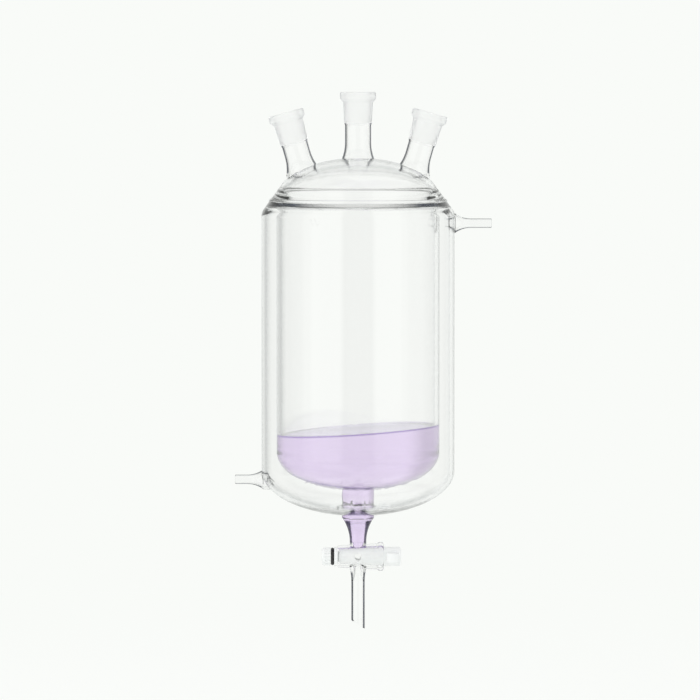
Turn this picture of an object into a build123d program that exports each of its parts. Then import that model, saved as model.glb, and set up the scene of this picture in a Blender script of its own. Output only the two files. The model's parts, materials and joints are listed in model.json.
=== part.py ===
"""Jacketed three neck reaction flask with a bottom stopcock.

The glass is fused: an inner vessel with domed ends, an outer heating jacket closed on to it by
ring seals, three ground sockets, two hose connectors, and an outlet that runs through a funnel
and a tapered stopcock barrel into a slant-cut discharge stem.  It is modelled whole, then parted
at the seams where a glassblower joins the standard pieces.  The stopcock's key turns in the
barrel, held by a washer, a rubber ring and a nut.

Millimetres.  +Z is up, the vessel's axis is the Z axis, and the origin lies on that axis at the
height of the stem's tip.  The necks, hose connectors and stopcock lie in the XZ plane.
"""

import os
from math import cos, radians, sin, sqrt, tan

from build123d import *

os.makedirs("parts", exist_ok=True)

# ---------------------------------------------------------------- driving dimensions
# inner vessel: a tube with semi-elliptical ends
vessel_od = 152.0
vessel_wall = 4.0
vessel_head = 38.0  # outer depth of each domed end
vessel_straight = 236.0  # length of the cylindrical wall between the domed ends

# heating jacket and its two ring seals
space_width = 10.0  # between the vessel's wall and the jacket's
jacket_wall = 4.0
jacket_head = 42.0  # outer depth of the jacket's domed bottom
sump_gap = 22.0  # from the jacket's lowest point up to the vessel's lowest point
seal_drop = 7.0  # the jacket space ends this far below the foot of the vessel's dome
seal_angle = 21.0  # where the shoulder meets the dome, in degrees round the dome's ellipse
shoulder_slope = 54.0  # steepness of the shoulder, in degrees
shoulder_round = 12.0
seal_bead_radius = 2.4
seal_bead_offset = 11.0  # from the top of the shoulder out to the weld's bead
seal_bead_rise = 0.9  # how far the weld's bead stands out of the shoulder
seal_fillet = 4.0  # rounding where the throat passes through the jacket's bottom

# outlet from the vessel to the stopcock
throat_od = 30.0
throat_wall = 3.0
throat_flare = 5.0  # rounding of the throat into the vessel's bottom
funnel_drop = 2.0  # from the jacket's lowest point down to the funnel's top
funnel_length = 23.0
funnel_foot_od = 15.4
funnel_foot_wall = 2.2
outlet_drop = 38.4  # from the jacket's lowest point down to the stopcock's axis

# stopcock barrel, and the taper that its seat and the key share
cock_height = 67.6  # from the stem's tip up to the stopcock's axis
cock_taper = 1 / 10  # change of diameter for each length
key_mid_od = 15.8  # diameter of the key on the vessel's axis
seat_clearance = 0.05  # radial, between the key and its seat
port_bore = 6.0  # drilled across the key and through both sides of the barrel
barrel_wall = 3.3
barrel_small_end = 18.9  # from the vessel's axis to the barrel's narrow end
barrel_big_end = 24.0  # from the vessel's axis to the barrel's flared end
barrel_bead_od = 27.2
barrel_bead_width = 6.6
barrel_bead_round = 2.4

# key of the stopcock
key_setback = 1.4  # the cone's small end lies this far inside the barrel
key_stand_out = 0.6  # the cone's big end stands this far out of the barrel
grip_od = 17.8
grip_width = 15.6
grip_round = 2.6
wing_span = 46.0  # tip to tip
wing_width = 12.4
wing_thickness = 9.4
wing_round = 2.0
tail_od = 9.8
tail_setback = 1.0  # the tail's end lies this far inside the nut

# washer, rubber ring and nut on the key's tail
washer_od = 18.4
washer_thickness = 3.2
washer_gap = 0.1  # running gap between the washer and the barrel
tail_play = 0.1  # radial, between the tail and what sits on it
ring_section = 3.2
nut_od = 17.0
nut_width = 8.4
nut_round = 2.8
nut_flutes = 16
nut_flute_radius = 0.9

# discharge stem
stem_od = 12.6
stem_wall = 1.4
stem_weld_od = 18.4
stem_weld_rise = 7.0  # the weld's top lies this far below the stopcock's axis
stem_weld_length = 16.0
stem_throat_length = 5.0  # straight part of the drilled port below the barrel's weld
tip_slant = 33.0  # angle of the cut across the tip, in degrees

# ground sockets, size 24/29: diameter at the mouth and ground length
socket_mouth = 24.0
socket_length = 29.0
socket_taper = 1 / 10
socket_wall = 2.3
socket_step = 2.0  # length over which the socket narrows to its tube
bead_od = 33.4
bead_height = 6.0
bead_slope = 3.6
bead_round = 1.6

# necks
neck_od = 24.4
neck_wall = 2.1
neck_foot_od = 31.6
neck_flare = 14.0  # height of the flared foot above the dome
neck_foot_drop = 2.5  # how far the flare runs on past the dome's surface
centre_neck_length = 61.0
side_neck_length = 54.5
side_neck_inset = 23.6  # from the vessel's wall in to the foot of a side neck
side_neck_lean = 16.0  # outwards from upright, in degrees

# hose connectors of the jacket
hose_od = 8.6
hose_wall = 1.3
hose_root_od = 19.0
hose_root_wall = 2.4
hose_root_length = 15.0
hose_edge_round = 0.5
hose_root_depth = 8.0  # how far the root runs in behind the jacket's outer wall
hose_outlet_drop = 16.0  # from the top of the jacket's space down to the upper connector, at +X
hose_outlet_length = 34.3  # from the jacket's wall to the connector's end
hose_inlet_rise = 33.8  # from the jacket's lowest point up to the lower connector, at -X
hose_inlet_length = 26.43

# liquid in the vessel
liquid_height = 187.0  # of the surface, on the vessel's axis
liquid_tilt = 3.9  # the surface rises towards +X, in degrees
liquid_gap = 0.3  # between the key and the liquid in the port above it

# ---------------------------------------------------------------- derived sizes
vessel_r = vessel_od / 2
jacket_r = vessel_r + space_width + jacket_wall
throat_r = throat_od / 2
port_r = port_bore / 2
stem_r = stem_od / 2
tail_r = tail_od / 2
hose_r = hose_od / 2
nut_r = nut_od / 2
side_neck_offset = vessel_r - side_neck_inset

jacket_bottom = cock_height + outlet_drop
jacket_foot = jacket_bottom + jacket_head
vessel_bottom = jacket_bottom + sump_gap
vessel_foot = vessel_bottom + vessel_head
vessel_top = vessel_foot + vessel_straight
space_top = vessel_top - seal_drop
outlet_height = space_top - hose_outlet_drop
inlet_height = jacket_bottom + hose_inlet_rise
seal_r = vessel_r * cos(radians(seal_angle))
seal_z = vessel_top + vessel_head * sin(radians(seal_angle))
funnel_top = jacket_bottom - funnel_drop
funnel_foot = funnel_top - funnel_length
funnel_foot_bore = funnel_foot_od / 2 - funnel_foot_wall
stem_weld_top = cock_height - stem_weld_rise
stem_weld_foot = stem_weld_top - stem_weld_length
head_seam = space_top - space_width / 2
overlap = 1.0  # a cutter runs this far past the wall that it opens
embed = 6.0  # a fused tube starts this far inside the wall that carries it

washer_outer = -barrel_small_end - washer_gap - washer_thickness
nut_inner = washer_outer - ring_section
nut_outer = nut_inner - nut_width
tail_end = nut_outer + tail_setback
grip_inner = barrel_big_end + key_stand_out
grip_outer = grip_inner + grip_width


def key_radius(x):
    """Radius of the stopcock's key at a place along its axis."""
    return key_mid_od / 2 + x * cock_taper / 2


def dome_height(radius):
    """Height of the dome's outer surface at a distance from the axis."""
    return vessel_top + vessel_head * sqrt(1 - (radius / vessel_r) ** 2)


def shoulder_height(radius):
    """Height of the straight shoulder's outer surface at a distance from the axis."""
    return seal_z - (radius - seal_r) * tan(radians(shoulder_slope))


def jacket_reach(height):
    """Distance from the axis to the jacket's outer surface at a height."""
    below = max(jacket_foot - height, 0)
    return jacket_r * sqrt(1 - (below / jacket_head) ** 2)


# ---------------------------------------------------------------- half profiles
# Each is drawn in its section plane's own coordinates, (radius, place along the axis).
def capsule(radius, head, foot, top):
    """A tube with semi-elliptical ends."""
    with BuildLine() as outline:
        Line((0, foot - head), (0, top + head))
        EllipticalCenterArc((0, top), radius, head, start_angle=0, arc_size=90)
        Line((radius, top), (radius, foot))
        EllipticalCenterArc((0, foot), radius, head, start_angle=270, arc_size=90)
    make_face(outline.edges())


def trumpet(tube_r, tube_end, flare_end, mouth_r, mouth, base):
    """A straight tube that flares out in an arc, from flare_end to its mouth, then runs to base."""
    way = 1 if mouth > flare_end else -1
    with BuildLine() as outline:
        Polyline(
            (tube_r, flare_end),
            (tube_r, tube_end),
            (0, tube_end),
            (0, base),
            (mouth_r, base),
            (mouth_r, mouth),
        )
        TangentArc((tube_r, flare_end), (mouth_r, mouth), tangent=(0, way))
    make_face(outline.edges())


def jacket_outside():
    """The jacket's outer form: domed bottom, straight wall and shoulder up to the dome."""
    corner = shoulder_height(jacket_r)
    with BuildLine() as outline:
        shoulder = Polyline(
            (0, jacket_bottom),
            (0, seal_z),
            (seal_r, seal_z),
            (jacket_r, corner),
            (jacket_r, jacket_foot),
        )
        fillet(shoulder.vertices().group_by(Axis.X)[-1].sort_by(Axis.Y)[-1], shoulder_round)
        EllipticalCenterArc((0, jacket_foot), jacket_r, jacket_head, start_angle=270, arc_size=90)
    make_face(outline.edges())


def socket_outside(length):
    """The socket's glass, from its narrow end up to the beaded rim."""
    foot = length - socket_length
    bead_foot = length - bead_height
    narrow_r = socket_mouth / 2 - socket_length * socket_taper / 2 + socket_wall
    wide_r = narrow_r + (socket_length - bead_height - bead_slope) * socket_taper / 2
    with BuildLine() as outline:
        rim = Polyline(
            (0, foot - socket_step),
            (neck_od / 2, foot - socket_step),
            (narrow_r, foot),
            (wide_r, bead_foot - bead_slope),
            (bead_od / 2, bead_foot),
            (bead_od / 2, length),
            (0, length),
            close=True,
        )
        fillet(rim.vertices().group_by(Axis.X)[-1], bead_round)
    make_face(outline.edges())


def socket_inside(length):
    """The ground taper."""
    foot_r = socket_mouth / 2 - socket_length * socket_taper / 2
    mouth_r = socket_mouth / 2 + overlap * socket_taper / 2
    Polygon(
        (0, length - socket_length),
        (foot_r, length - socket_length),
        (mouth_r, length + overlap),
        (0, length + overlap),
        align=None,
    )


# ---------------------------------------------------------------- section planes
def neck_plane(offset, lean):
    """Section plane of a neck: its y axis runs up the neck from the dome's surface."""
    turn = radians(lean)
    return Plane(
        origin=(offset, 0, dome_height(abs(offset))),
        x_dir=(cos(turn), 0, -sin(turn)),
        z_dir=(0, -1, 0),
    )


def level_plane(height, side=1):
    """Section plane of a level tube: its y axis runs out towards +X, or towards -X."""
    return Plane(origin=(0, 0, height), x_dir=(0, 0, -side), z_dir=(0, -1, 0))


def own_axis(plane):
    """The axis that a section plane's profile is turned about."""
    return Axis(plane.origin, plane.y_dir)


def seam_space(plane, start, end, radius):
    """Round space about a section plane's axis that holds one of the standard glass pieces."""
    with BuildPart() as space:
        with BuildSketch(plane):
            Polygon((0, start), (radius, start), (radius, end), (0, end), align=None)
        revolve(axis=own_axis(plane))
    return space.part


necks = [
    (neck_plane(0, 0), centre_neck_length),
    (neck_plane(-side_neck_offset, -side_neck_lean), side_neck_length),
    (neck_plane(side_neck_offset, side_neck_lean), side_neck_length),
]
hoses = [
    (level_plane(outlet_height), jacket_reach(outlet_height), hose_outlet_length),
    (level_plane(inlet_height, -1), jacket_reach(inlet_height), hose_inlet_length),
]
cock_plane = level_plane(cock_height)
cock_axis = own_axis(cock_plane)

# ---------------------------------------------------------------- hollow spaces
with BuildPart() as vessel_space:
    with BuildSketch(Plane.XZ):
        capsule(vessel_r - vessel_wall, vessel_head - vessel_wall, vessel_foot, vessel_top)
    revolve(axis=Axis.Z)
    bore_r = throat_r - throat_wall
    mouth_z = vessel_bottom + vessel_wall + overlap
    with BuildSketch(Plane.XZ):
        trumpet(
            bore_r,
            funnel_top,
            mouth_z - throat_flare,
            bore_r + throat_flare,
            mouth_z,
            mouth_z + embed,
        )
    revolve(axis=Axis.Z)
    with BuildSketch(Plane.XZ):
        trumpet(
            funnel_foot_bore,
            funnel_foot,
            funnel_foot + overlap,
            bore_r,
            funnel_top,
            funnel_top + overlap,
        )
    revolve(axis=Axis.Z)

with BuildPart() as jacket_space:
    with BuildSketch(Plane.XZ):
        capsule(jacket_r - jacket_wall, jacket_head - jacket_wall, jacket_foot, vessel_top)
    revolve(axis=Axis.Z)
    with BuildSketch(Plane.XY.offset(head_seam)):
        Circle(jacket_r)
    extrude(amount=jacket_r, mode=Mode.SUBTRACT)
    with BuildSketch(Plane.XZ):
        capsule(vessel_r, vessel_head, vessel_foot, vessel_top)
    revolve(axis=Axis.Z, mode=Mode.SUBTRACT)
    foot_z = jacket_bottom + jacket_wall
    with BuildSketch(Plane.XZ):
        trumpet(
            throat_r,
            vessel_foot,
            foot_z + seal_fillet,
            throat_r + seal_fillet,
            foot_z,
            jacket_bottom,
        )
    revolve(axis=Axis.Z, mode=Mode.SUBTRACT)
    with Locations((0, 0, head_seam)):
        Torus(vessel_r + space_width / 2, space_width / 2)

# ---------------------------------------------------------------- fused glass
with BuildPart() as glass:
    # vessel and jacket, filled
    with BuildSketch(Plane.XZ):
        capsule(vessel_r, vessel_head, vessel_foot, vessel_top)
    revolve(axis=Axis.Z)
    with BuildSketch(Plane.XZ):
        jacket_outside()
    revolve(axis=Axis.Z)
    bead_r = seal_r + seal_bead_offset
    bead_depth = seal_bead_radius - seal_bead_rise
    slope = radians(shoulder_slope)
    with Locations((0, 0, shoulder_height(bead_r) - bead_depth * cos(slope))):
        Torus(bead_r - bead_depth * sin(slope), seal_bead_radius)
    # funnel, barrel and stem, filled
    with BuildSketch(Plane.XZ):
        trumpet(
            funnel_foot_od / 2,
            cock_height,
            funnel_foot,
            throat_r,
            funnel_top,
            jacket_bottom + jacket_wall,
        )
    revolve(axis=Axis.Z)
    with BuildSketch(Plane.XZ):
        trumpet(stem_r, 0, stem_weld_foot, stem_weld_od / 2, stem_weld_top, cock_height)
    revolve(axis=Axis.Z)
    with BuildSketch(cock_plane):
        with BuildLine():
            bead_x = barrel_big_end - barrel_bead_width
            barrel = Polyline(
                (0, -barrel_small_end),
                (key_radius(-barrel_small_end) + barrel_wall, -barrel_small_end),
                (key_radius(bead_x) + barrel_wall, bead_x),
                (barrel_bead_od / 2, bead_x + barrel_bead_round),
                (barrel_bead_od / 2, barrel_big_end),
                (0, barrel_big_end),
                close=True,
            )
            fillet(barrel.vertices().group_by(Axis.X)[-1], barrel_bead_round)
        make_face()
    revolve(axis=cock_axis)
    # necks and hose connectors, filled
    for plane, length in necks:
        with BuildSketch(plane):
            trumpet(
                neck_od / 2,
                length - socket_length,
                neck_flare,
                neck_foot_od / 2,
                -neck_foot_drop,
                -embed,
            )
            socket_outside(length)
        revolve(axis=own_axis(plane))
    for plane, wall, length in hoses:
        with BuildSketch(plane):
            trumpet(
                hose_r,
                wall + length,
                wall + hose_root_length,
                hose_root_od / 2,
                wall,
                wall - hose_root_depth,
            )
        revolve(axis=own_axis(plane))
    # hollows
    add(jacket_space.part, mode=Mode.SUBTRACT)
    add(vessel_space.part, mode=Mode.SUBTRACT)
    for plane, length in necks:
        with BuildSketch(plane):
            trumpet(
                neck_od / 2 - neck_wall,
                length - socket_length + overlap,
                neck_flare,
                neck_foot_od / 2 - neck_wall,
                -neck_foot_drop,
                -2 * embed,
            )
            socket_inside(length)
        revolve(axis=own_axis(plane), mode=Mode.SUBTRACT)
    for plane, wall, length in hoses:
        with BuildSketch(plane):
            trumpet(
                hose_r - hose_wall,
                wall + length + overlap,
                wall + hose_root_length,
                hose_root_od / 2 - hose_root_wall,
                wall,
                vessel_r + overlap,
            )
        revolve(axis=own_axis(plane), mode=Mode.SUBTRACT)
    with BuildSketch(Plane.XZ):
        trumpet(
            port_r,
            funnel_foot + overlap,
            stem_weld_top - stem_throat_length,
            stem_r - stem_wall,
            stem_weld_foot,
            -overlap,
        )
    revolve(axis=Axis.Z, mode=Mode.SUBTRACT)
    with BuildSketch(cock_plane):
        Polygon(
            (0, -barrel_small_end - overlap),
            (key_radius(-barrel_small_end - overlap) + seat_clearance, -barrel_small_end - overlap),
            (key_radius(barrel_big_end + overlap) + seat_clearance, barrel_big_end + overlap),
            (0, barrel_big_end + overlap),
            align=None,
        )
    revolve(axis=cock_axis, mode=Mode.SUBTRACT)
    with BuildSketch(Plane.XZ):
        Polygon(
            (stem_r, 0),
            (-stem_r, stem_od * tan(radians(tip_slant))),
            (-stem_od, stem_od * tan(radians(tip_slant))),
            (-stem_od, -overlap),
            (stem_r, -overlap),
            align=None,
        )
    extrude(amount=stem_od, both=True, mode=Mode.SUBTRACT)
    # fire-polished ends of the hose connectors
    fillet(glass.faces().sort_by(Axis.X)[-1].edges(), hose_edge_round)
    fillet(glass.faces().sort_by(Axis.X)[0].edges(), hose_edge_round)

# ---------------------------------------------------------------- glass, parted at its seams
seams = {}
for name, (plane, length) in zip(["centre_neck", "left_neck", "right_neck"], necks):
    seams[name] = seam_space(plane, neck_flare, length + overlap, bead_od)
for name, (plane, wall, length) in zip(["hose_outlet", "hose_inlet"], hoses):
    seams[name] = seam_space(plane, wall + hose_root_length, wall + length + overlap, hose_root_od)
head_top = vessel_top + vessel_head
seams["stopcock_barrel"] = seam_space(Plane.XZ, funnel_top, -overlap, jacket_r)
seams["vessel_head"] = seam_space(Plane.XZ, head_seam, head_top + neck_flare, jacket_r)
with BuildPart() as jacket_seam:
    with BuildSketch(Plane.XZ):
        Polygon(
            (throat_r + seal_fillet, jacket_bottom - overlap),
            (jacket_r + hose_outlet_length, jacket_bottom - overlap),
            (jacket_r + hose_outlet_length, head_seam),
            (throat_r + seal_fillet, head_seam),
            align=None,
        )
    revolve(axis=Axis.Z)
    with BuildSketch(Plane.XZ):
        mid_gap = (sump_gap - jacket_wall) / 2
        capsule(vessel_r + space_width / 2, vessel_head + mid_gap, vessel_foot, vessel_top)
    revolve(axis=Axis.Z, mode=Mode.SUBTRACT)
seams["outer_jacket"] = jacket_seam.part

pieces = {}
remainder = glass.part
for name, space in seams.items():
    with BuildPart() as piece:
        add(remainder)
        add(space, mode=Mode.INTERSECT)
    with BuildPart() as others:
        add(remainder)
        add(space, mode=Mode.SUBTRACT)
    pieces[name] = piece.part
    remainder = others.part
pieces["inner_vessel"] = remainder

for name, piece in pieces.items():
    piece.label = name
    export_step(piece, f"parts/{name}.step")

# ---------------------------------------------------------------- liquid
with BuildPart() as liquid:
    add(vessel_space.part)
    tilt = radians(liquid_tilt)
    surface = Plane(
        origin=(0, 0, liquid_height),
        x_dir=(cos(tilt), 0, sin(tilt)),
        z_dir=(-sin(tilt), 0, cos(tilt)),
    )
    split(bisect_by=surface, keep=Keep.BOTTOM)
    port_foot = cock_height + key_radius(port_r) + liquid_gap
    with BuildSketch(Plane.XY.offset(port_foot)):
        Circle(port_r)
    extrude(amount=funnel_foot + overlap - port_foot)

liquid.part.label = "liquid"
export_step(liquid.part, "parts/liquid.step")

# ---------------------------------------------------------------- stopcock's key
with BuildPart() as stopcock_plug:
    wing_x = (grip_inner + grip_outer) / 2
    with BuildSketch(Plane.XY.offset(cock_height - wing_thickness / 2)):
        with Locations((wing_x, 0)):
            SlotOverall(wing_span, wing_width, rotation=90)
    extrude(amount=wing_thickness)
    fillet(stopcock_plug.edges(), wing_round)
    with BuildSketch(cock_plane):
        with BuildLine():
            cone_foot = -barrel_small_end + key_setback
            key = Polyline(
                (0, tail_end),
                (tail_r, tail_end),
                (tail_r, cone_foot),
                (key_radius(cone_foot), cone_foot),
                (key_radius(grip_inner), grip_inner),
                (grip_od / 2, grip_inner),
                (grip_od / 2, grip_outer),
                (0, grip_outer),
                close=True,
            )
            fillet(key.vertices().group_by(Axis.Y)[-1].sort_by(Axis.X)[-1], grip_round)
        make_face()
    revolve(axis=cock_axis)
    with BuildSketch(Plane.XZ):
        with Locations((0, cock_height)):
            Circle(port_r)
    extrude(amount=key_mid_od, both=True, mode=Mode.SUBTRACT)

stopcock_plug.part.label = "stopcock_plug"
export_step(stopcock_plug.part, "parts/stopcock_plug.step")

# ---------------------------------------------------------------- washer, ring and nut
with BuildPart() as washer:
    with BuildSketch(Plane(origin=(washer_outer, 0, cock_height), z_dir=(1, 0, 0))):
        Circle(washer_od / 2)
        Circle(tail_r + tail_play, mode=Mode.SUBTRACT)
    extrude(amount=washer_thickness)

washer.part.label = "washer"
export_step(washer.part, "parts/washer.step")

with BuildPart() as o_ring:
    with Locations((nut_inner + ring_section / 2, 0, cock_height)):
        Torus(tail_r + tail_play + ring_section / 2, ring_section / 2, rotation=(0, 90, 0))

o_ring.part.label = "o_ring"
export_step(o_ring.part, "parts/o_ring.step")

with BuildPart() as nut:
    with BuildSketch(cock_plane):
        with BuildLine():
            body = Polyline(
                (tail_r + tail_play, nut_outer),
                (nut_r, nut_outer),
                (nut_r, nut_inner),
                (tail_r + tail_play, nut_inner),
                close=True,
            )
            fillet(body.vertices().group_by(Axis.Y)[0].sort_by(Axis.X)[-1], nut_round)
        make_face()
    revolve(axis=cock_axis)
    with BuildSketch(Plane(origin=(nut_inner, 0, cock_height), z_dir=(-1, 0, 0))):
        with PolarLocations(nut_r, nut_flutes):
            Circle(nut_flute_radius)
    extrude(amount=nut_width - nut_round, mode=Mode.SUBTRACT)

nut.part.label = "nut"
export_step(nut.part, "parts/nut.step")
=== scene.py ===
"""Looks of the jacketed three neck flask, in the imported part's own frame, in metres.

The glass is the CAD glass with its seams taken out, so that light passes through one fused wall.
"""

import json
import math

import bpy
import numpy as np
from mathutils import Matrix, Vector


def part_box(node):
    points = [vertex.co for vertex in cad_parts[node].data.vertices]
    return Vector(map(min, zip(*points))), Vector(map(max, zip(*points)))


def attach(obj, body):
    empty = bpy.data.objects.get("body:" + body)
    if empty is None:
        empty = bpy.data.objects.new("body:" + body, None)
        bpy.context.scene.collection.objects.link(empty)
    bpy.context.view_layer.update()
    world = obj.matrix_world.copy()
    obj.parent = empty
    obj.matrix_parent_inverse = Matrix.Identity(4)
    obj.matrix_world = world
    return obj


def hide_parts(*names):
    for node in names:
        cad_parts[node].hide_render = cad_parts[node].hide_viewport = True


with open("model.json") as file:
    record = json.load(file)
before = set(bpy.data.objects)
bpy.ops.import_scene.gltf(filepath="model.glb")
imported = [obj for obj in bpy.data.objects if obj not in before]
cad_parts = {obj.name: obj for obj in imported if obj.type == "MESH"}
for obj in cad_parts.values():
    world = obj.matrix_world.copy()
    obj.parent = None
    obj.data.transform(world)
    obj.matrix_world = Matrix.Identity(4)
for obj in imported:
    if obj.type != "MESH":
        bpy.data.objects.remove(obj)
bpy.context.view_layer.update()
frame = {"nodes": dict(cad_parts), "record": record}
scene = bpy.context.scene
nodes = frame["nodes"]

# ---------------------------------------------------------------- places taken from the CAD
GLASS = [n for n in frame["record"]["behaviour"]["bodies"]["flask"] if n != "liquid"]
UPWARD = np.array([0.0, 0.0, 1.0])
OUTWARD = np.array([1.0, 0.0, 0.0])
NEAR = 2e-5  # how close a point lies to a CAD surface that it is on

# necks: foot on the dome, axis and length, then what their ground sockets share
VESSEL_TOP = 0.402
VESSEL_HEAD = 0.038
VESSEL_R = 0.076
NECK_LEAN = math.radians(16.0)
NECK_FOOT_X = 0.0524
NECK_FOOT_Z = VESSEL_TOP + VESSEL_HEAD * math.sqrt(1 - (NECK_FOOT_X / VESSEL_R) ** 2)
SIDE_NECK_LENGTH = 0.0545
NECKS = [(np.array([0.0, 0.0, VESSEL_TOP + VESSEL_HEAD]), UPWARD, 0.061)]
for side in (-1, 1):
    neck_foot = np.array([side * NECK_FOOT_X, 0.0, NECK_FOOT_Z])
    neck_axis = np.array([side * math.sin(NECK_LEAN), 0.0, math.cos(NECK_LEAN)])
    NECKS.append((neck_foot, neck_axis, SIDE_NECK_LENGTH))
NECK_FLARE = 0.014
GROUND_LENGTH = 0.029
SOCKET_MOUTH_R = 0.012
SOCKET_SLOPE = 0.05

# the glass's materials, and the tubes whose outsides get dark edges of painted shade, darker where a tube
# is seen at a grazing angle:
# material, foot, axis, where the dark edge starts and ends along it, and the reach from the axis
WALL, NECK, STEM, WELD, SOCKET, GROUND = range(6)
TUBES = [(NECK, foot, axis, 0.0, length - GROUND_LENGTH, 0.018) for foot, axis, length in NECKS] + [
    (STEM, np.zeros(3), UPWARD, -0.001, 0.0535, 0.012),
    (STEM, np.zeros(3), UPWARD, 0.0795, 0.1015, 0.0155),
    (NECK, np.array([0.0, 0.0, 0.379]), OUTWARD, 0.0904, 0.13, 0.01),
    (NECK, np.array([0.0, 0.0, 0.1398]), -OUTWARD, 0.0904, 0.13, 0.01),
]

# the shoulder between the dome and the jacket, and the ring seal's dark edge of painted shade on it
SHOULDER_R = 0.0708
SHOULDER_SPAN = (0.384, 0.4162)
SEAL_SPAN = (0.3955, 0.3995)
SEAL_SOFT = 0.0006

# seams between the glass's nodes
HEAD_SEAM_Z = 0.390
THROAT_SEAM_R = 0.019
THROAT_SEAM_SPAN = (0.1, 0.12)
FUNNEL_SEAM_Z = 0.104

# the stopcock's seat
COCK_Z = 0.0676
SEAT_R = 0.00795
SEAT_SLOPE = 0.05
SEAT_REACH = 0.03
SEAT_EASE = 0.0001

LIQUID_LEVEL = 0.187
LIQUID_TILT = math.radians(3.9)
LIQUID_UP = (-math.sin(LIQUID_TILT), 0.0, math.cos(LIQUID_TILT))
LIQUID_GROWTH = 0.0005


# ---------------------------------------------------------------- shader helpers
class Graph:
    """A material's or world's node tree, with short calls for what is used below."""

    def __init__(self, tree):
        self.tree = tree
        tree.nodes.clear()

    def add(self, kind, inputs=None, **settings):
        node = self.tree.nodes.new(kind)
        for name, value in settings.items():
            setattr(node, name, value)
        for key, value in (inputs or {}).items():
            if isinstance(value, bpy.types.NodeSocket):
                self.tree.links.new(value, node.inputs[key])
            else:
                node.inputs[key].default_value = value
        return node

    def math(self, operation, *values):
        return self.add("ShaderNodeMath", dict(enumerate(values)), operation=operation).outputs[0]

    def ramp(self, value, start, end):
        """0 up to start, 1 from end on, and smooth between; start may lie above end."""
        limits = {"Value": value, "From Min": start, "From Max": end}
        return self.add("ShaderNodeMapRange", limits, interpolation_type="SMOOTHSTEP").outputs[0]

    def dot(self, vector, direction):
        inputs = {0: vector, 1: direction}
        return self.add("ShaderNodeVectorMath", inputs, operation="DOT_PRODUCT").outputs["Value"]

    def mix_colour(self, factor, first, second):
        node = self.add("ShaderNodeMix", data_type="RGBA")
        sockets = (node.inputs[0], node.inputs[6], node.inputs[7])
        for socket, value in zip(sockets, (factor, first, second)):
            if isinstance(value, bpy.types.NodeSocket):
                self.tree.links.new(value, socket)
            else:
                socket.default_value = value
        return node.outputs[2]


def material(name):
    made = bpy.data.materials.new(name)
    made.use_nodes = True
    return made, Graph(made.node_tree)


def finish_surface(graph, shader):
    graph.add("ShaderNodeOutputMaterial", {"Surface": shader.outputs[0]})


# ---------------------------------------------------------------- materials
GLASS_SHADE = 0.97
LIQUID_SHADE = 0.95


def let_light_by(graph, shader, shade):
    """Lets lamps and the light between dull surfaces straight through the shader, dimmed by shade."""
    path = graph.add("ShaderNodeLightPath").outputs
    clear = graph.add("ShaderNodeBsdfTransparent", {"Color": (shade, shade, shade, 1.0)})
    passing = graph.math("MAXIMUM", path["Is Shadow Ray"], path["Is Diffuse Ray"])
    return graph.add("ShaderNodeMixShader", {0: passing, 1: shader.outputs[0], 2: clear.outputs[0]})


def clear_glass(name, edge_start, edge_end, painted_edge_shade, span=None):
    """Fire-polished glass: faintly wavy as blown tube is, and painted darker where it is seen along its
    wall, a painted shade for its dark edges.

    span, where it is given, is the pair of heights between which that dark edge is kept.
    """
    made, g = material(name)
    place = g.add("ShaderNodeTexCoord").outputs["Object"]
    stretched = g.add("ShaderNodeMapping", {"Vector": place, "Scale": (1.0, 1.0, 0.6)}).outputs[0]
    wave = g.add("ShaderNodeTexNoise", {"Vector": stretched, "Scale": 9.0, "Detail": 2.0}).outputs[0]
    bump = g.add("ShaderNodeBump", {"Height": wave, "Strength": 0.02, "Distance": 0.0006}).outputs[0]
    # painted shade: the colour, which also tints the reflections, darkens towards the dark edge colour
    # where the glass is seen at a grazing angle
    facing = g.add("ShaderNodeLayerWeight", {"Blend": 0.5}).outputs["Facing"]
    uneven = g.add("ShaderNodeTexNoise", {"Vector": place, "Scale": 30.0, "Detail": 2.0}).outputs[0]
    facing = g.math("MULTIPLY_ADD", uneven, 0.06, g.math("SUBTRACT", facing, 0.03))
    edge = g.ramp(facing, edge_start, edge_end)
    # the painted edge shade is kept only between the span's heights, for the ring seal's dark line
    if span:
        low, high = span
        level = g.add("ShaderNodeSeparateXYZ", {"Vector": place}).outputs["Z"]
        level = g.math("MULTIPLY_ADD", uneven, SEAL_SOFT, level)
        edge = g.math("MULTIPLY", edge, g.ramp(level, low, low + SEAL_SOFT))
        edge = g.math("MULTIPLY", edge, g.ramp(level, high, high - SEAL_SOFT))
    colour = g.mix_colour(edge, (1.0, 1.0, 1.0, 1.0), painted_edge_shade)
    shader = g.add(
        "ShaderNodeBsdfPrincipled",
        {
            "Base Color": colour,
            "Specular Tint": colour,
            "Roughness": 0.0,
            "IOR": 1.47,
            "Transmission Weight": 1.0,
            "Normal": bump,
        },
    )
    finish_surface(g, let_light_by(g, shader, GLASS_SHADE))
    return made


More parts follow.
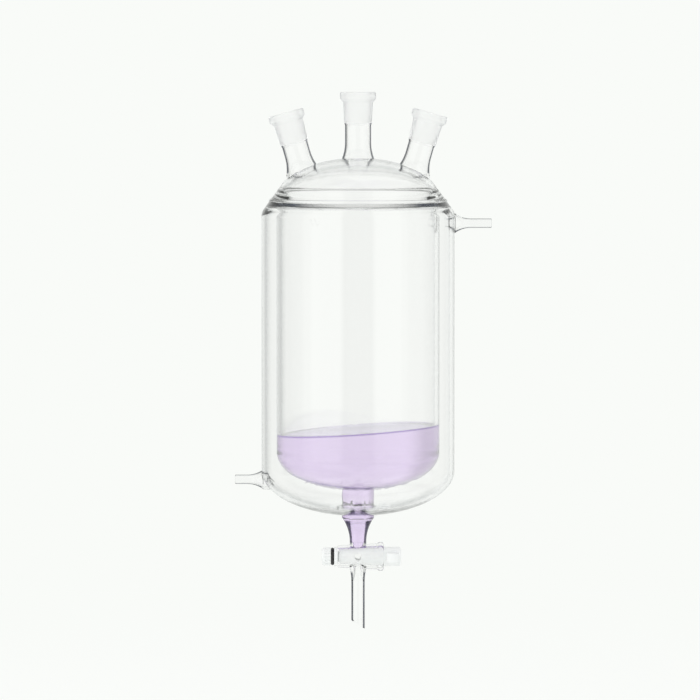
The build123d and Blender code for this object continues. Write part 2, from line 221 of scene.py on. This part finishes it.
def frosted_glass(name, roughness, ior, transmission, painted_edge_shade):
    """Glass with a fine grain: the ground taper of a socket, and its dulled outside, with painted shade
    that greys it towards its edges.
    """
    made, g = material(name)
    place = g.add("ShaderNodeTexCoord").outputs["Object"]
    grain = g.add("ShaderNodeTexNoise", {"Vector": place, "Scale": 2600.0, "Detail": 3.0}).outputs[0]
    rings = g.add("ShaderNodeTexNoise", {"Vector": place, "Scale": 260.0, "Detail": 2.0}).outputs[0]
    height = g.math("ADD", grain, g.math("MULTIPLY", rings, 0.4))
    bump = g.add("ShaderNodeBump", {"Height": height, "Strength": 0.5, "Distance": 0.00012}).outputs[0]
    # painted shade: the colour greys towards the edge colour where the glass is seen at a grazing angle,
    # patchy with the rings noise
    facing = g.add("ShaderNodeLayerWeight", {"Blend": 0.5}).outputs["Facing"]
    edge = g.ramp(g.math("MULTIPLY_ADD", rings, 0.2, facing), 0.3, 1.1)
    shader = g.add(
        "ShaderNodeBsdfPrincipled",
        {
            "Base Color": g.mix_colour(edge, (0.94, 0.945, 0.94, 1.0), painted_edge_shade),
            "Roughness": roughness,
            "IOR": ior,
            "Transmission Weight": transmission,
            "Normal": bump,
        },
    )
    finish_surface(g, let_light_by(g, shader, GLASS_SHADE))
    return made


def violet_liquid():
    """Violet solution with painted shade: deeper where it is seen along the wall, and dark violet in its
    top 2 mm, its surface included, for the meniscus's dark line.
    """
    made, g = material("tinted_liquid_violet")
    place = g.add("ShaderNodeTexCoord").outputs["Object"]
    rise = g.dot(place, LIQUID_UP)
    surface = LIQUID_LEVEL * LIQUID_UP[2]
    # painted shade: dark violet in the liquid's top 2 mm, for the dark line the meniscus shows
    meniscus_shade = g.ramp(rise, surface - 0.0022, surface - 0.001)
    facing = g.add("ShaderNodeLayerWeight", {"Blend": 0.5}).outputs["Facing"]
    # painted shade: deeper violet where the liquid is seen at a grazing angle
    colour = g.mix_colour(g.ramp(facing, 0.3, 0.9), (0.835, 0.71, 0.95, 1.0), (0.6, 0.48, 0.82, 1.0))
    colour = g.mix_colour(meniscus_shade, colour, (0.28, 0.2, 0.5, 1.0))
    shader = g.add(
        "ShaderNodeBsdfPrincipled",
        {
            "Base Color": colour,
            "Roughness": 0.0,
            "IOR": 1.34,
            "Transmission Weight": 1.0,
        },
    )
    finish_surface(g, let_light_by(g, shader, LIQUID_SHADE))
    return made


def white_plastic():
    """Turned fluoropolymer: waxy white, with faint turning marks round the key's axis."""
    made, g = material("white_plastic_turned")
    place = g.add("ShaderNodeTexCoord").outputs["Object"]
    marks = g.add(
        "ShaderNodeTexWave",
        {"Vector": place, "Scale": 900.0, "Distortion": 1.5, "Detail": 2.0},
        bands_direction="X",
    ).outputs["Fac"]
    cloud = g.add("ShaderNodeTexNoise", {"Vector": place, "Scale": 70.0, "Detail": 3.0}).outputs[0]
    colour = g.mix_colour(cloud, (0.87, 0.90, 0.90, 1.0), (0.94, 0.95, 0.94, 1.0))
    bump = g.add("ShaderNodeBump", {"Height": marks, "Strength": 0.25, "Distance": 0.00005}).outputs[0]
    roughness = g.math("MULTIPLY_ADD", cloud, 0.2, 0.3)
    shader = g.add(
        "ShaderNodeBsdfPrincipled",
        {
            "Base Color": colour,
            "Roughness": roughness,
            "IOR": 1.38,
            "Subsurface Weight": 0.25,
            "Subsurface Radius": (0.004, 0.004, 0.004),
            "Subsurface Scale": 0.5,
            "Normal": bump,
        },
    )
    finish_surface(g, shader)
    return made


def black_rubber():
    """Smooth black rubber with a little dust."""
    made, g = material("black_rubber_smooth")
    place = g.add("ShaderNodeTexCoord").outputs["Object"]
    dust = g.add("ShaderNodeTexNoise", {"Vector": place, "Scale": 400.0, "Detail": 4.0}).outputs[0]
    colour = g.mix_colour(dust, (0.008, 0.008, 0.009, 1.0), (0.035, 0.035, 0.035, 1.0))
    roughness = g.math("MULTIPLY_ADD", dust, 0.3, 0.3)
    shader = g.add("ShaderNodeBsdfPrincipled", {"Base Color": colour, "Roughness": roughness, "IOR": 1.5})
    finish_surface(g, shader)
    return made


# ---------------------------------------------------------------- meshes
def triangles(node):
    """Corner points and corner normals of a CAD node's triangles."""
    mesh = nodes[node].data
    points = np.empty(len(mesh.vertices) * 3, np.float32)
    mesh.vertices.foreach_get("co", points)
    corners = np.empty(len(mesh.loops), np.int32)
    mesh.loops.foreach_get("vertex_index", corners)
    normals = np.empty(len(mesh.loops) * 3, np.float32)
    mesh.corner_normals.foreach_get("vector", normals)
    placed = points.reshape(-1, 3)[corners].astype(np.float64)
    return placed.reshape(-1, 3, 3), normals.reshape(-1, 3, 3).astype(np.float64)


def face_normals(corners):
    """The triangles' own flat normals."""
    side = np.cross(corners[:, 1] - corners[:, 0], corners[:, 2] - corners[:, 0])
    return side / np.maximum(np.linalg.norm(side, axis=1, keepdims=True), 1e-15)


def weld(corners):
    """The points that the triangles share, and each triangle's three places among them."""
    flat = corners.reshape(-1, 3)
    keys = np.round(flat / 1e-6).astype(np.int64)
    _, first, index = np.unique(keys, axis=0, return_index=True, return_inverse=True)
    return flat[first], index.reshape(-1, 3)


def make_mesh(name, corners, normals, slots):
    """One mesh of those triangles, welded, with its own corner normals and material slots."""
    points, faces = weld(corners)
    whole = (faces != np.roll(faces, 1, axis=1)).all(axis=1)
    mesh = bpy.data.meshes.new(name)
    mesh.from_pydata(points.tolist(), [], faces[whole].tolist())
    mesh.polygons.foreach_set("use_smooth", np.ones(whole.sum(), bool))
    mesh.polygons.foreach_set("material_index", slots[whole].astype(np.int32))
    mesh.normals_split_custom_set(normals[whole].reshape(-1, 3).tolist())
    made = bpy.data.objects.new(name, mesh)
    scene.collection.objects.link(made)
    return made


def on_seam(corners):
    """True for the triangles that lie in a seam between two CAD nodes."""
    side = face_normals(corners)
    found = np.zeros(len(corners), bool)
    planes = [(foot + axis * NECK_FLARE, axis) for foot, axis, _ in NECKS]
    planes += [(UPWARD * height, UPWARD) for height in (HEAD_SEAM_Z, FUNNEL_SEAM_Z)]
    hose_roots = (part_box("hose_outlet")[0].x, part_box("hose_inlet")[1].x)
    planes += [(OUTWARD * root, OUTWARD) for root in hose_roots]
    for point, axis in planes:
        off = np.abs((corners - point) @ axis).max(axis=1)
        found |= (off < NEAR) & (np.abs(side @ axis) > 0.999)
    radius = np.hypot(corners[..., 0], corners[..., 1])
    low, high = THROAT_SEAM_SPAN
    level = corners[..., 2]
    throat = (np.abs(radius - THROAT_SEAM_R) < NEAR) & (level > low) & (level < high)
    return found | throat.all(axis=1)


def from_axis(points, foot, axis):
    """How far the points lie along an axis, and their offsets from it."""
    along = (points - foot) @ axis
    return along, points - foot - along[:, None] * axis


def glass_slots(corners, normals):
    """Each triangle's place in the glass's list of materials."""
    centre = corners.mean(axis=1)
    normal = normals.mean(axis=1)
    slots = np.full(len(corners), WALL)
    for slot, foot, axis, start, end, reach in TUBES:
        along, off = from_axis(centre, foot, axis)
        size = np.linalg.norm(off, axis=1)
        outer = (off * normal).sum(axis=1) > 0.3 * size
        slots[(along > start) & (along < end) & (size < reach) & outer] = slot
    for foot, axis, length in NECKS:
        along, off = from_axis(centre, foot, axis)
        size = np.linalg.norm(off, axis=1)
        socket = (along > length - GROUND_LENGTH) & (size < 0.02)
        taper = size < SOCKET_MOUTH_R - (length - along) * SOCKET_SLOPE + 0.0004
        slots[socket] = SOCKET
        slots[socket & taper & (along < length - 1e-5)] = GROUND
    low, high = SHOULDER_SPAN
    radius = np.hypot(centre[:, 0], centre[:, 1])
    outside = (radius > SHOULDER_R) & (normal[:, 2] > 0.25)
    slots[outside & (centre[:, 2] > low) & (centre[:, 2] < high)] = WELD
    return slots


def ease_seat(corners):
    """Opens the stopcock's seat a hair, so that its facets and the key's never cross as the key turns."""
    x, y, z = corners[..., 0], corners[..., 1], corners[..., 2] - COCK_Z
    radius = np.maximum(np.hypot(y, z), NEAR)
    seat = (np.abs(radius - SEAT_R - SEAT_SLOPE * x) < NEAR) & (np.abs(x) < SEAT_REACH)
    grown = 1 + seat * SEAT_EASE / radius
    return np.stack([x, y * grown, z * grown + COCK_Z], axis=-1)


def fused_glass():
    """The CAD glass as one piece, with a material for each kind of surface."""
    corners, normals = (np.concatenate(part) for part in zip(*map(triangles, GLASS)))
    keep = ~on_seam(corners)
    corners, normals = ease_seat(corners[keep]), normals[keep]
    glass = make_mesh("flask_glass", corners, normals, glass_slots(corners, normals))
    # each glass's dark edge colour, and the grazing angles over which it comes in, are painted shade
    for made in (
        clear_glass("clear_glass_wall", 0.62, 1.0, (0.45, 0.48, 0.5, 1.0)),
        clear_glass("clear_glass_neck", 0.48, 0.56, (0.012, 0.014, 0.02, 1.0)),
        clear_glass("clear_glass_stem", 0.27, 0.36, (0.02, 0.022, 0.03, 1.0)),
        clear_glass("clear_glass_weld", -0.03, 0.42, (0.012, 0.014, 0.02, 1.0), SEAL_SPAN),
        frosted_glass("clear_glass_socket", 0.35, 1.12, 0.9, (0.7, 0.71, 0.73, 1.0)),
        frosted_glass("clear_glass_ground", 0.4, 1.15, 0.7, (0.8, 0.8, 0.81, 1.0)),
    ):
        glass.data.materials.append(made)
    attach(glass, "flask")
    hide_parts(*GLASS)


def wetting_liquid():
    """The liquid, grown a little into the glass wall so that no film of air lies between them."""
    corners, normals = triangles("liquid")
    off = (corners.mean(axis=1) - [0, 0, LIQUID_LEVEL]) @ LIQUID_UP
    top = (face_normals(corners) @ LIQUID_UP > 0.9999) & (np.abs(off) < NEAR)
    points, index = weld(corners)
    push = np.zeros_like(points)
    for k in range(3):
        np.add.at(push, index[~top, k], normals[~top, k])
    size = np.linalg.norm(push, axis=1, keepdims=True)
    push = np.divide(push, size, out=np.zeros_like(push), where=size > 1e-9)
    grown = corners + push[index] * LIQUID_GROWTH
    liquid = make_mesh("flask_liquid", grown, normals, np.zeros(len(grown), int))
    liquid.data.materials.append(violet_liquid())
    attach(liquid, "flask")
    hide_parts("liquid")


fused_glass()
wetting_liquid()
plastic = white_plastic()
for name in ("stopcock_plug", "washer", "nut"):
    nodes[name].data.materials[0] = plastic
nodes["o_ring"].data.materials[0] = black_rubber()

# ---------------------------------------------------------------- studio
BACKDROP = (0.947, 0.965, 0.939, 1.0)
FLAG_COLOUR = (0.01, 0.012, 0.014, 1.0)
FLAG_DEPTH = 0.35
TOWARD_LIGHT = (-0.45, -0.55, 0.7)
FLOOR_Z = -0.16
FLOOR_RADIUS = 2.2
FLASK_MIDDLE = Vector((0, 0, 0.26))


def studio_world():
    """White all round for the camera; glass and gloss also see soft dark flags.

    Azimuth is 0 degrees behind the flask and 180 at the camera, and height is level at 0.
    """
    world = bpy.data.worlds.new("studio")
    world.use_nodes = True
    scene.world = world
    g = Graph(world.node_tree)
    way = g.add("ShaderNodeTexCoord").outputs["Generated"]
    x, y, z = g.add("ShaderNodeSeparateXYZ", {"Vector": way}).outputs
    on_left = g.math("LESS_THAN", x, 0.0)
    path = g.add("ShaderNodeLightPath").outputs
    azimuth = g.math("DEGREES", g.math("ABSOLUTE", g.math("ARCTAN2", x, y)))
    height = g.math("DEGREES", g.math("ABSOLUTE", g.math("ARCSINE", z)))
    behind = g.math("MULTIPLY", g.ramp(azimuth, 157.0, 160.0), 0.3)
    left = g.math("MULTIPLY", g.ramp(azimuth, 112.0, 108.0), g.ramp(azimuth, 16.0, 33.0))
    left = g.math("MULTIPLY", g.math("MULTIPLY", left, on_left), FLAG_DEPTH)
    sides = g.math("MULTIPLY", g.ramp(azimuth, 38.0, 50.0), g.ramp(azimuth, 80.0, 68.0))
    strength = g.math("MULTIPLY_ADD", on_left, 0.2, 0.15)
    sides = g.math("MULTIPLY", sides, g.math("MULTIPLY", path["Is Transmission Ray"], strength))
    above = g.math("MULTIPLY", g.ramp(height, 26.0, 38.0), g.ramp(height, 50.0, 38.0))
    above = g.math("MULTIPLY", above, FLAG_DEPTH)
    dark = g.math("MAXIMUM", g.math("MAXIMUM", behind, left), g.math("MAXIMUM", sides, above))
    seen = g.mix_colour(dark, BACKDROP, FLAG_COLOUR)
    toward = g.math("MAXIMUM", g.dot(way, TOWARD_LIGHT), 0.0)
    soft = g.math("MULTIPLY_ADD", toward, 0.25, 0.89)
    light = g.add("ShaderNodeCombineColor", {0: soft, 1: soft, 2: soft}).outputs[0]
    mirror = g.math("MAXIMUM", path["Is Glossy Ray"], path["Is Transmission Ray"])
    mirror = g.math("MULTIPLY", mirror, g.math("LESS_THAN", path["Diffuse Depth"], 0.5))
    colour = g.mix_colour(mirror, light, seen)
    colour = g.mix_colour(path["Is Camera Ray"], colour, BACKDROP)
    background = g.add("ShaderNodeBackground", {"Color": colour, "Strength": 1.0})
    g.add("ShaderNodeOutputWorld", {"Surface": background.outputs[0]})


def studio_floor():
    """A pale round floor below the hung flask, which the camera sees fade into the backdrop."""
    place = (0, 0, FLOOR_Z)
    bpy.ops.mesh.primitive_circle_add(vertices=96, radius=FLOOR_RADIUS, fill_type="NGON", location=place)
    floor = bpy.context.object
    floor.name = "studio_floor"
    made, g = material("studio_floor")
    place = g.add("ShaderNodeTexCoord").outputs["Object"]
    reach = g.add("ShaderNodeVectorMath", {0: place}, operation="LENGTH").outputs["Value"]
    fade = g.ramp(reach, 0.5, 2.0)
    paper = g.add("ShaderNodeBsdfDiffuse", {"Color": (0.93, 0.945, 0.925, 1.0)})
    far = g.add("ShaderNodeEmission", {"Color": BACKDROP})
    fade = g.math("MULTIPLY", fade, g.add("ShaderNodeLightPath").outputs["Is Camera Ray"])
    blend = g.add("ShaderNodeMixShader", {0: fade, 1: paper.outputs[0], 2: far.outputs[0]})
    finish_surface(g, blend)
    floor.data.materials.append(made)
    floor.visible_glossy = False
    floor.visible_transmission = False


def soft_lamp(name, place, size, power):
    """A square lamp aimed at the flask's middle, which only dull surfaces see."""
    lamp = bpy.data.lights.new(name, "AREA")
    lamp.size = size
    lamp.energy = power
    made = bpy.data.objects.new(name, lamp)
    made.location = place
    made.rotation_euler = (FLASK_MIDDLE - Vector(place)).to_track_quat("-Z", "Y").to_euler()
    made.visible_camera = False
    made.visible_glossy = False
    made.visible_transmission = False
    scene.collection.objects.link(made)


def photo_camera():
    """Long lens, 3 degrees above the horizon, framed as the photograph is."""
    distance = 5.0
    view_width = 0.6528
    tilt = math.radians(3.0)
    centre = Vector((-0.0075, 0.0, 0.2607))
    camera = bpy.data.cameras.new("photo_camera")
    camera.sensor_width = 36.0
    camera.lens = camera.sensor_width * distance / view_width
    camera.clip_end = 50.0
    made = bpy.data.objects.new("photo_camera", camera)
    back = Vector((0.0, -math.cos(tilt), math.sin(tilt)))
    made.location = centre + back * distance
    made.rotation_euler = (-back).to_track_quat("-Z", "Y").to_euler()
    scene.collection.objects.link(made)
    scene.camera = made


studio_world()
studio_floor()
soft_lamp("key_softbox", (-1.6, -1.8, 1.9), 1.4, 5.0)
photo_camera()
scene.view_settings.view_transform = "Standard"
scene.cycles.max_bounces = 24
scene.cycles.transmission_bounces = 24
scene.cycles.glossy_bounces = 8
scene.cycles.transparent_max_bounces = 16
